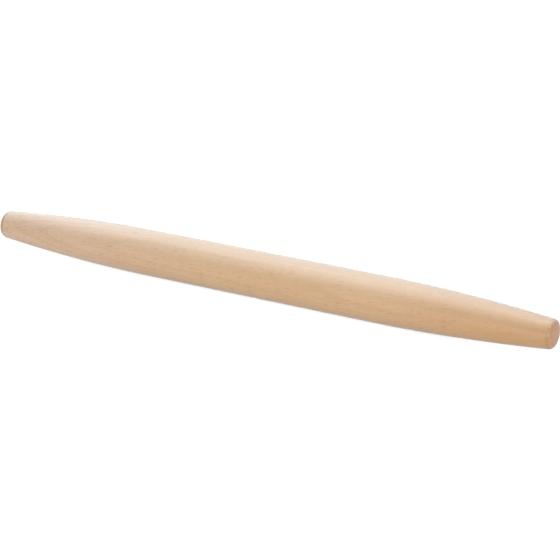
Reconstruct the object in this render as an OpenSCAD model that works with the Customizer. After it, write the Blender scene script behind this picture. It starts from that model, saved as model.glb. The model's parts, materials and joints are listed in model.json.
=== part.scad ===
// Tapered rolling pin without handles, turned from one blank of beech.
// It lies along X with its underside on Z = 0: a straight rolling section in the
// middle, a long arc that tapers to each end, and a flat end face with a rounded edge.

/* [Rolling section] */
// Length of the pin from one end face to the other
pin_length = 510; // [420:1:620]
// Diameter of the straight rolling section
belly_diameter = 38; // [32:0.5:60]
// Length of the straight rolling section, where the dough is rolled flat
belly_length = 204; // [40:1:320]

/* [Ends] */
// Diameter that the taper would reach at the end face if the edge were sharp
end_diameter = 23; // [18:0.5:30]
// Radius of the rounded edge around each end face
edge_radius = 4; // [1:0.25:7]

/* [Smoothness] */
// Number of steps in the outline along each taper
taper_steps = 20; // [8:1:40]
// Number of steps in the outline around each rounded edge
edge_steps = 10; // [4:1:20]
// Number of facets around the pin in the preview
facets_around = 180; // [48:12:360]

/* [Hidden] */

belly_radius = belly_diameter / 2;
half_length = pin_length / 2;
belly_half = belly_length / 2;

// Points of the outline are [distance from the axis, distance from the middle].
// The taper is one arc, tangent to the rolling section where it starts. Its centre
// lies far beyond the axis, so the centre's distance from the axis is negative.
taper_length = half_length - belly_half;
taper_drop = (belly_diameter - end_diameter) / 2;
taper_radius = (taper_length ^ 2 + taper_drop ^ 2) / (2 * taper_drop);
taper_centre = [belly_radius - taper_radius, belly_half];

// The rounded edge touches the taper from inside and runs out into the end face.
edge_along = half_length - edge_radius;
edge_centre = [
    taper_centre.x + sqrt((taper_radius - edge_radius) ^ 2 - (edge_along - taper_centre.y) ^ 2),
    edge_along
];
// Lean of the outline where the taper hands over to the rounded edge
edge_lean = atan2(edge_centre.y - taper_centre.y, edge_centre.x - taper_centre.x);

// Points along an arc, without its first point. An angle of 0 points straight
// away from the axis and 90 points along it.
function arc_after_start(centre, radius, from, to, steps) = [
    for (i = [1:steps])
        let (angle = from + (to - from) * i / steps)
            centre + radius * [cos(angle), sin(angle)]
];

half_outline = concat(
    [[belly_radius, belly_half]],
    arc_after_start(taper_centre, taper_radius, 0, edge_lean, taper_steps),
    arc_after_start(edge_centre, edge_radius, edge_lean, 90, edge_steps),
    [[0, half_length]]
);
other_half = [for (i = [len(half_outline) - 1:-1:0]) [half_outline[i].x, -half_outline[i].y]];

module turned_pin() {
    color("burlywood")
        translate([0, 0, belly_radius])
            rotate([0, 90, 0])
                rotate_extrude($fn = facets_around)
                    polygon(concat(half_outline, other_half));
}

turned_pin();
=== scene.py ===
import json
import math

import bpy
import numpy as np
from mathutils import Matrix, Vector


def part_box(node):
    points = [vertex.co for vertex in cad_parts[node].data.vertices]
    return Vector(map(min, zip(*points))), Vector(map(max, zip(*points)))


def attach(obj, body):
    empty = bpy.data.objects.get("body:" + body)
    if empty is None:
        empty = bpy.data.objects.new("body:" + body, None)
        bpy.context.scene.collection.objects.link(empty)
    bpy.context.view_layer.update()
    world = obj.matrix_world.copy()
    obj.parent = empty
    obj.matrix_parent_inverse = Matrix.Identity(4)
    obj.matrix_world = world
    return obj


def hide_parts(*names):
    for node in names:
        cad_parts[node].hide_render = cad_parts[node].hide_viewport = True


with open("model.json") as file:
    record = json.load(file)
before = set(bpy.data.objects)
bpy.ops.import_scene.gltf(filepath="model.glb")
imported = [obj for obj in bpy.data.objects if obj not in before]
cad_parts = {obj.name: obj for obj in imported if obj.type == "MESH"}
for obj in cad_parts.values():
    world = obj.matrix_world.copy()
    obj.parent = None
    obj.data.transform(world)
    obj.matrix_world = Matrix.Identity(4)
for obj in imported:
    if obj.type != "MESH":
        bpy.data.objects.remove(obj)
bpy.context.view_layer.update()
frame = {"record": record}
mm = 0.001
black = (0, 0, 0, 1)    # colours in this file are linear
white = (1, 1, 1, 1)

print("camera")

# A long lens, turned a little off the pin's side so that its near end face shows
camera = {
    "azimuth": 29.44,           # degrees round from the front, towards the near end
    "elevation": 21.04,         # degrees above the worktop
    "distance": 1.632,          # metres from the lens to the aim
    "aim": (0.0136, 0.0061, 0.0155),
    "lens": 129.6,              # millimetres, on the sensor below
    "sensor": 36.0,
    "clipNear": 0.05,
    "clipFar": 60.0,
}


# Unit vector from the object towards an azimuth and an elevation given in degrees
def towards(azimuth, elevation):
    a, e = math.radians(azimuth), math.radians(elevation)
    return Vector((math.sin(a) * math.cos(e), -math.cos(a) * math.cos(e), math.sin(e)))


# Turns a camera or a lamp at a place so that it looks along a direction
def aimAlong(thing, place, direction):
    thing.location = place
    thing.rotation_mode = "QUATERNION"
    thing.rotation_quaternion = direction.to_track_quat("-Z", "Y")


# A camera that looks back at its aim from the distance and the direction given
def makeCamera(c):
    data = bpy.data.cameras.new("camera")
    data.lens, data.sensor_width = c["lens"], c["sensor"]
    data.clip_start, data.clip_end = c["clipNear"], c["clipFar"]
    data.dof.use_dof = False
    seer = bpy.data.objects.new("camera", data)
    bpy.context.scene.collection.objects.link(seer)
    back = towards(c["azimuth"], c["elevation"])
    aimAlong(seer, Vector(c["aim"]) + back * c["distance"], -back)
    bpy.context.scene.camera = seer


makeCamera(camera)

print("pin surface")

# The length and the diameter are the frame's own. The straight part is the record's pin mount.
low, high = (Vector(corner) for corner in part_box("turned_pin"))
rollingMount = next(m for m in frame["record"]["mounts"] if m["name"] == "rolling_section")
axisHeight = (low.z + high.z) / 2

pin = {
    "length": high.x - low.x,
    "bellyRadius": min(high.y - low.y, high.z - low.z) / 2,
    "bellyLength": rollingMount["dims"]["length_mm"] * mm,
    "endRadius": 11.5 * mm,     # where the taper would meet the end face if the edge were sharp
    "edgeRadius": 4 * mm,       # rounding around each end face
    "facePoints": 12,           # from the axis out to the rim of the flat end face
    "edgePoints": 16,
    "taperPoints": 96,
    "bellyPoints": 40,          # along half the straight part
    "pointsAround": 184,
    "sandingDepth": 0.03 * mm,  # hollows left by the sanding belt, always inwards
    # radians for each metre along, whole turns round the pin, and radians at the start
    "sandingWaves": ((21, 1, 0.3), (34, 2, 1.9), (52, 3, 4.1), (83, 1, 5.2)),
}


# Outline of one half as two arrays, distance along and distance from the axis.
# Flat face, then a quarter of a rounded edge that touches the taper from inside,
# then one arc tangent to the rolling section, then half the rolling section.
def halfOutline(p):
    half, bellyHalf = p["length"] / 2, p["bellyLength"] / 2
    taper, drop = half - bellyHalf, p["bellyRadius"] - p["endRadius"]
    arcRadius = (taper ** 2 + drop ** 2) / (2 * drop)
    arcOut = p["bellyRadius"] - arcRadius
    edgeAlong = half - p["edgeRadius"]
    edgeOut = arcOut + math.sqrt((arcRadius - p["edgeRadius"]) ** 2 - (edgeAlong - bellyHalf) ** 2)
    lean = math.atan2(edgeAlong - bellyHalf, edgeOut - arcOut)
    edgeTurn = np.linspace(math.pi / 2, lean, p["edgePoints"])[1:]
    taperTurn = np.linspace(lean, 0, p["taperPoints"])[1:]
    along = np.concatenate([
        np.full(p["facePoints"], half),
        edgeAlong + p["edgeRadius"] * np.sin(edgeTurn),
        bellyHalf + arcRadius * np.sin(taperTurn),
        np.linspace(bellyHalf, 0, p["bellyPoints"])[1:],
    ])
    out = np.concatenate([
        np.linspace(0, edgeOut, p["facePoints"]),
        edgeOut + p["edgeRadius"] * np.cos(edgeTurn),
        arcOut + arcRadius * np.cos(taperTurn),
        np.full(p["bellyPoints"] - 1, p["bellyRadius"]),
    ])
    return along, out


# Both halves in one array from the -X pole to the +X pole, mirrored at the middle
def wholeOutline(p):
    along, out = halfOutline(p)
    return np.concatenate([-along, along[-2::-1]]), np.concatenate([out, out[-2::-1]])


# How far the sanding belt went in, from 0 to 1: the mean of a few slow waves that run
# along the pin and round it, each with a whole number of turns so that the seam closes
def sandedHollows(waves, along, turn):
    total = sum(np.sin(perMetre * along + turns * turn + start) for perMetre, turns, start in waves)
    return 0.5 - 0.5 * total / len(waves)


# Surface of a turned solid: point (i, j) is the outline's point i swung j steps round the
# X axis. The two poles are single points, closed with triangles.
def turnedSolid(name, p, height):
    along, out = wholeOutline(p)
    rings, around = len(along) - 2, p["pointsAround"]
    turn = np.linspace(0, 2 * math.pi, around, endpoint=False)
    x = np.repeat(along[1:-1, None], around, 1)
    hollows = p["sandingDepth"] / p["bellyRadius"] * sandedHollows(p["sandingWaves"], x, turn[None, :])
    radius = out[1:-1, None] * (1 - hollows)
    ring = np.stack([x, -radius * np.cos(turn), height + radius * np.sin(turn)], 2).reshape(-1, 3)
    poles = np.array([[along[0], 0, height], [along[-1], 0, height]])
    points = np.concatenate([ring, poles])

    index = np.arange(rings * around).reshape(rings, around)
    nextRound = np.roll(index, -1, 1)
    quads = np.stack([index[:-1], nextRound[:-1], nextRound[1:], index[1:]], 2).reshape(-1, 4)
    firstPole, lastPole = len(points) - 2, len(points) - 1
    firstFan = np.stack([nextRound[0], index[0], np.full(around, firstPole)], 1)
    lastFan = np.stack([index[-1], nextRound[-1], np.full(around, lastPole)], 1)
    mesh = bpy.data.meshes.new(name)
    mesh.from_pydata(points.tolist(), [], quads.tolist() + firstFan.tolist() + lastFan.tolist())
    mesh.polygons.foreach_set("use_smooth", np.ones(len(mesh.polygons), bool))
    mesh.update()
    solid = bpy.data.objects.new(name, mesh)
    bpy.context.scene.collection.objects.link(solid)
    return solid


pinPiece = turnedSolid("rollingPin", pin, axisHeight)
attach(pinPiece, "root")
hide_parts("turned_pin")

print("materials")


# A node's output as a value. Sums, products and powers of values add Math nodes.
class Value:
    def __init__(self, maker, node, output):
        self.maker, self.node = maker, node
        self.socket = node.outputs[output] if node.outputs else None

    # Another output of the same node
    def other(self, output):
        return Value(self.maker, self.node, output)

    def __add__(self, other):
        return self.maker.maths("ADD", self, other)

    def __sub__(self, other):
        return self.maker.maths("SUBTRACT", self, other)

    def __rsub__(self, other):
        return self.maker.maths("SUBTRACT", other, self)

    def __mul__(self, other):
        return self.maker.maths("MULTIPLY", self, other)

    def __truediv__(self, other):
        return self.maker.maths("DIVIDE", self, other)

    def __pow__(self, other):
        return self.maker.maths("POWER", self, other)

    __radd__ = __add__
    __rmul__ = __mul__


# The nodes of one material or of the sky
class Finish:
    def __init__(self, owner):
        owner.use_nodes = True
        self.owner, self.tree = owner, owner.node_tree
        self.tree.nodes.clear()

    # Adds a node of a kind, with its settings first and then the values or links of its
    # sockets, and gives back one of its outputs
    def add(self, kind, settings=None, sockets=None, output=0):
        node = self.tree.nodes.new(kind)
        for name, setting in (settings or {}).items():
            setattr(node, name, setting)
        for name, value in (sockets or {}).items():
            if isinstance(value, Value):
                self.tree.links.new(value.socket, node.inputs[name])
            else:
                node.inputs[name].default_value = value
        return Value(self, node, output)

    # One step of arithmetic on two values or numbers
    def maths(self, operation, first, second=0.0):
        return self.add("ShaderNodeMath", {"operation": operation}, {0: first, 1: second})

    # 0 before the first limit, 1 after the second, and a soft S between them
    def rise(self, value, limits, unit=1.0):
        start, full = limits
        return self.add("ShaderNodeMapRange", {"interpolation_type": "SMOOTHSTEP"},
                        {0: value, 1: start * unit, 2: full * unit, 3: 0.0, 4: 1.0})

    # Between two colours, by a factor from 0 to 1
    def mix(self, factor, first, second):
        return self.add("ShaderNodeMix", {"data_type": "RGBA"}, {0: factor, 6: first, 7: second}, 2)

    # 1 for the camera and for what shows in gloss or glass, and 0 for light on its way
    def seenDirectly(self):
        path = self.add("ShaderNodeLightPath", output="Is Camera Ray")
        kinds = path + path.other("Is Glossy Ray") + path.other("Is Transmission Ray")
        return self.maths("MINIMUM", kinds, 1.0)

    # A point in units of a cell, with its own size along each direction, then shifted
    def inCells(self, point, cell, shift=(0.0, 0.0, 0.0)):
        return self.add("ShaderNodeVectorMath", {"operation": "MULTIPLY_ADD"},
                        {0: point, 1: tuple(1 / size for size in cell), 2: shift})

    # Noise from 0 to 1
    def noise(self, point, cell, detail=2.0, roughness=0.5, shift=(0.0, 0.0, 0.0)):
        cells = self.inCells(point, cell, shift)
        return self.add("ShaderNodeTexNoise", {"noise_dimensions": "3D"},
                        {"Vector": cells, "Scale": 1.0, "Detail": detail, "Roughness": roughness})

    # Spindles in cells, one at the heart of each, and the lot from 0 to 1 that its cell drew
    def spindles(self, point, cell, core, rim):
        cells = self.inCells(point, cell)
        reach = self.add("ShaderNodeTexVoronoi", {"voronoi_dimensions": "3D", "feature": "F1"},
                         {"Vector": cells, "Scale": 1.0}, "Distance")
        lot = self.add("ShaderNodeSeparateColor", sockets={0: reach.other("Color")})
        return 1 - self.rise(reach, (core, rim)), lot


# Cells in the tree are sized along the pin, round the pith and out from it. Those of the
# warp, the patches and the streaks are sized along X, Y and Z.
beech = {
    "pith": (0.072, -0.030),        # centre of the growth rings, behind and below the pin's axis
    "pithSlope": (0.018, -0.011),   # how far it drifts for each step along the pin
    "grainTwist": 0.14,             # how far the fibres lean round the pith for each step along
    "warp": {"cell": (0.095, 0.026, 0.026)},
    "warpShift": (7.3, 2.9, 5.1),   # in cells, to a stretch of noise that differs from the first
    "warpDepth": 3.2 * mm,
    "ringWidth": 2.9 * mm,
    "ringWander": {"cell": (0.4, 0.06, 0.004), "detail": 1.0},
    "ringUnevenness": 1.8 * mm,
    "ringContrast": 2.0,
    "fleck": {"cell": (9.0 * mm, 0.90 * mm, 6.0 * mm), "core": 0.16, "rim": 0.38},
    "fineFleck": {"cell": (5.0 * mm, 0.55 * mm, 3.5 * mm), "core": 0.10, "rim": 0.45},
    "fibre": {"cell": (14 * mm, 0.60 * mm, 0.60 * mm), "detail": 3.0, "roughness": 0.6},
    "pore": {"cell": (2.2 * mm, 0.13 * mm, 0.13 * mm), "detail": 1.0},
    "patch": {"cell": (0.120, 0.018, 0.018)},
    "streak": {"cell": (6.0 * mm, 1.6 * mm, 1.6 * mm)},
    "bandWander": 3.0 * mm,
    "limits": {                     # where each soft step starts and where it is full
        "ringDarkens": (0.30, 0.92),                # shares of a ring's width
        "ringPales": (0.92, 1.0),
        "fleck": (0.30, 1.0),                       # of the lot that a cell drew
        "paleFleckStops": (0.12, 0.22),
        "fineFleck": (0.35, 0.80),
        "fibre": (0.40, 0.75),                      # of noise
        "pore": (0.60, 0.75),
        "patch": (0.3, 0.7),
        "streak": (0.15, 0.60),
        # painted light: the pin pales towards its far end and grows richer towards its near end
        "paintedLightTowardsPale": (-1.0, 0.1),                 # shares of half the pin's length
        "paintedLightTowardsRich": (0.3, 1.0),
        "bandStarts": (0.9 * mm, 2.2 * mm),         # in from an end face
        "bandFades": (3.2 * mm, 4.8 * mm),
        "sideWood": (0.1 * mm, 1.0 * mm),
    },
    "shares": {                     # how much of its colour each mark mixes in at its strongest
        "patch": 0.5,
        "fibre": 0.25,
        "endGrain": 0.7,
        "ring": 0.22,
        "ringOnFace": 0.38,         # added on the end faces
        "band": 0.80,
        "paleFleck": 0.36,
        "paleFleckFade": 0.20,      # taken off towards the rich end
        "fleck": 0.55,
        "fineFleck": 0.42,
        "pore": 0.12,
    },
    "colours": {
        # palest, pale and rich carry the painted light along the pin; palest also colours the pale flecks
        "palest": (0.660, 0.478, 0.345, 1),
        "pale": (0.585, 0.386, 0.219, 1),
        "rich": (0.435, 0.238, 0.098, 1),
        "tan": (0.530, 0.334, 0.180, 1),
        "late": (0.447, 0.264, 0.134, 1),
        "ray": (0.344, 0.189, 0.090, 1),
        "endBrown": (0.330, 0.180, 0.088, 1),
        "endGrain": (0.600, 0.285, 0.150, 1),
    },
    "rough": {"plain": 0.46, "fibre": 0.10, "pore": 0.08, "endCut": 0.12, "fleck": -0.06},
    "relief": {"fibre": 0.5, "pore": -0.5, "late": -0.25, "fleck": 0.2},
    "reliefDepth": 0.05 * mm,
    "reliefStrength": 0.35,
    "refraction": 1.5,
    "sheen": 0.30,
    "sheenRoughness": 0.45,
}


# Where a point lies in the tree. The rings are circles round the pith, bent by slow noise,
# and the fibres lean round the pith as they run along.
def placeInTree(f, b, place, height):
    bend = f.noise(place, **b["warp"])
    bendAgain = f.noise(place, shift=b["warpShift"], **b["warp"])
    along = f.add("ShaderNodeSeparateXYZ", sockets={0: place})
    pithY, pithZ = b["pith"]
    slopeY, slopeZ = b["pithSlope"]
    fromPithY = pithY - along.other("Y") + slopeY * along + b["warpDepth"] * (bend - 0.5)
    fromPithZ = along.other("Z") - (height + pithZ) + slopeZ * along + b["warpDepth"] * (bendAgain - 0.5)
    outward = (fromPithY * fromPithY + fromPithZ * fromPithZ) ** 0.5
    around = f.maths("ARCTAN2", fromPithZ, fromPithY) * math.hypot(pithY, pithZ) - b["grainTwist"] * along
    return f.add("ShaderNodeCombineXYZ", sockets={0: along, 1: around, 2: outward}), along, outward


# Growth rings: slowly darker through each ring, and sharply pale again at its end
def ringShade(f, b, grain, outward):
    wander = f.noise(grain, **b["ringWander"])
    part = f.maths("FRACT", (outward + b["ringUnevenness"] * wander) / b["ringWidth"])
    darker = f.rise(part, b["limits"]["ringDarkens"]) ** b["ringContrast"]
    return darker * (1 - f.rise(part, b["limits"]["ringPales"]))


# Bare beech, worked out through the solid wood, so that the side shows ray flecks as dashes
# and the end face shows rings. The pin's paler far end and richer near end are painted light,
# standing in for how the light fell along the pin.
def beechWood(b, p, height):
    f = Finish(bpy.data.materials.new("beech"))
    limits, shares, colours = b["limits"], b["shares"], b["colours"]
    place = f.add("ShaderNodeTexCoord", output="Object")
    grain, along, outward = placeInTree(f, b, place, height)
    lateWood = ringShade(f, b, grain, outward)
    spindle, lot = f.spindles(grain, **b["fleck"])
    flecks = spindle * f.rise(lot, limits["fleck"])
    paleFlecks = spindle * (1 - f.rise(lot, limits["paleFleckStops"]))
    spindle, lot = f.spindles(grain, **b["fineFleck"])
    fineFlecks = spindle * f.rise(lot, limits["fineFleck"])
    fibre = f.noise(grain, **b["fibre"])
    pores = f.rise(f.noise(grain, **b["pore"]), limits["pore"])
    patch = f.noise(place, **b["patch"])

    # A brownish, streaky band lies where the rounding starts, and the face cuts across the fibres
    half = p["length"] / 2
    fromEnd = half - f.maths("ABSOLUTE", along)
    streak = f.noise(place, **b["streak"])
    bandPlace = fromEnd + b["bandWander"] * (streak - 0.5)
    band = f.rise(bandPlace, limits["bandStarts"]) * (1 - f.rise(bandPlace, limits["bandFades"]))
    band = band * f.rise(streak, limits["streak"])
    endCut = 1 - f.rise(fromEnd, limits["sideWood"])

    # Each layer covers those before it, by its factor
    # painted light: richer towards the near end
    nearRichPaintedLight = f.rise(along, limits["paintedLightTowardsRich"], half)
    layers = (
        (nearRichPaintedLight, "rich"),
        (f.rise(patch, limits["patch"]) * shares["patch"], "tan"),
        (f.rise(fibre, limits["fibre"]) * shares["fibre"], "late"),
        (endCut * shares["endGrain"], "endGrain"),
        (lateWood * (shares["ring"] + shares["ringOnFace"] * endCut), "late"),
        (band * shares["band"], "endBrown"),
        (paleFlecks * (shares["paleFleck"] - shares["paleFleckFade"] * nearRichPaintedLight), "palest"),
        (flecks * shares["fleck"], "ray"),
        (fineFlecks * shares["fineFleck"], "ray"),
        (pores * shares["pore"], "ray"),
    )
    # painted light: palest at the far end, turning pale towards the middle
    colour = f.mix(f.rise(along, limits["paintedLightTowardsPale"], half), colours["palest"], colours["pale"])
    for factor, name in layers:
        colour = f.mix(factor, colour, colours[name])

    rough, relief = b["rough"], b["relief"]
    roughness = (rough["plain"] + rough["fibre"] * (fibre - 0.5) + rough["pore"] * pores
                 + rough["endCut"] * endCut + rough["fleck"] * flecks)
    grainHeight = (relief["fibre"] * fibre + relief["pore"] * pores
                   + relief["late"] * lateWood + relief["fleck"] * flecks)
    bump = f.add("ShaderNodeBump", sockets={
        "Strength": b["reliefStrength"], "Distance": b["reliefDepth"], "Height": grainHeight,
    })
    surface = f.add("ShaderNodeBsdfPrincipled", sockets={
        "Base Color": colour, "Roughness": roughness, "Normal": bump, "IOR": b["refraction"],
        "Sheen Weight": b["sheen"], "Sheen Roughness": b["sheenRoughness"],
    })
    f.add("ShaderNodeOutputMaterial", sockets={0: surface})
    return f.owner


pinPiece.data.materials.append(beechWood(beech, pin, axisHeight))

print("floor and light")

# Openness is the share of directions above a point that nothing near it closes off
floorLook = {
    "size": 14.0,
    "colour": (0.95, 0.95, 0.95, 1),    # what sends light up at the pin
    # painted shade: the dark colour that the floor sends up where the nook under the pin closes it off
    "nook": (0.04, 0.04, 0.04, 1),      # the same, in the nook under the pin
    "seen": (0.25, 0.25, 0.25, 1),      # the lit card that the camera sees, which takes the shadow
    "glow": 0.92,                       # even white that the camera sees with the card
    "reach": 30 * mm,                   # how near the pin has to be to close off a direction
    "samples": 16,
    # painted shadow: the glow is held dark at the contact under the pin, by openness
    "glowOpenness": (0.0, 0.03),        # where the glow starts and is full
    "cardOpenness": (0.32, 0.62),       # where the card starts to send light up, and does so fully
}


# A plain white worktop. The camera and mirrors see it as white with the shadow kept. In the
# narrow nook under the pin, its glow and the light it sends up are darkened by a painted
# shade, worked out from how open each point lies.
def whiteFloor(look):
    half = look["size"] / 2
    mesh = bpy.data.meshes.new("floor")
    corners = [(-half, -half, 0), (half, -half, 0), (half, half, 0), (-half, half, 0)]
    mesh.from_pydata(corners, [], [(0, 1, 2, 3)])
    floor = bpy.data.objects.new("floor", mesh)
    bpy.context.scene.collection.objects.link(floor)
    f = Finish(bpy.data.materials.new("whiteCard"))
    seen = f.seenDirectly()
    openness = f.add("ShaderNodeAmbientOcclusion", {"samples": look["samples"]},
                     {"Distance": look["reach"]}, "AO")
    # painted shade: the light sent up at the pin fades to the nook colour where the pin closes off the
    # sky
    sendsUpWithPaintedShade = f.mix(f.rise(openness, look["cardOpenness"]), look["nook"], look["colour"])
    card = f.add("ShaderNodeBsdfDiffuse", sockets={"Color": f.mix(seen, sendsUpWithPaintedShade, look["seen"])})
    # painted shadow: the glow goes dark in the nook right under the pin
    glow = seen * look["glow"] * f.rise(openness, look["glowOpenness"])
    glowing = f.add("ShaderNodeEmission", sockets={"Color": f.mix(glow, black, white)})
    shown = f.add("ShaderNodeAddShader", sockets={0: card, 1: glowing})
    f.add("ShaderNodeOutputMaterial", sockets={0: shown})
    mesh.materials.append(f.owner)


whiteFloor(floorLook)

light = {
    "sky": 0.34,                # even white light from all round
    "low": {                    # long lamps just above the worktop, with no gloss from the back one
        "front": {"at": (1.2, -2.4, 0.32), "size": (3.6, 0.6), "power": 71.0, "gloss": True},
        "back": {"at": (-1.2, 2.4, 0.32), "size": (3.6, 0.6), "power": 48.0, "gloss": False},
    },
    "arch": {                   # cool white strips over the pin that show only as sheen
        "radius": 1.44,
        "along": -0.2,          # middle of each strip along the pin
        "size": (3.0, 0.6),
        "colour": (0.92, 0.97, 1.0),
        # power of each strip, by its degrees up from the front
        "powers": {60: 17.0, 80: 20.0, 100: 37.0, 120: 34.0, 140: 26.0, 160: 9.0},
    },
}


# A soft rectangular lamp, as wide and as high as its size says, that looks at a spot
def makeLamp(name, place, spot, size, power):
    data = bpy.data.lights.new(name, "AREA")
    data.shape = "RECTANGLE"
    data.size, data.size_y = size
    data.energy = power
    holder = bpy.data.objects.new(name, data)
    bpy.context.scene.collection.objects.link(holder)
    aimAlong(holder, Vector(place), Vector(spot) - Vector(place))
    return holder


# The sky lights the scene evenly, and the camera and mirrors see it pure white
def makeSky(strength):
    world = bpy.data.worlds.new("sky")
    bpy.context.scene.world = world
    f = Finish(world)
    level = strength + (1 - strength) * f.seenDirectly()
    sky = f.add("ShaderNodeBackground", sockets={"Color": white, "Strength": level})
    f.add("ShaderNodeOutputWorld", sockets={0: sky})


makeSky(light["sky"])
for name, lamp in light["low"].items():
    longLamp = makeLamp(name, lamp["at"], (0, 0, 0), lamp["size"], lamp["power"])
    longLamp.visible_glossy = lamp["gloss"]
arch = light["arch"]
for degrees, power in arch["powers"].items():
    over = math.radians(degrees)
    place = (arch["along"], -arch["radius"] * math.cos(over), arch["radius"] * math.sin(over))
    strip = makeLamp("sheen%d" % degrees, place, (arch["along"], 0, 0), arch["size"], power)
    strip.data.color = arch["colour"]
    strip.visible_diffuse = False
bpy.context.scene.view_settings.view_transform = "Standard"
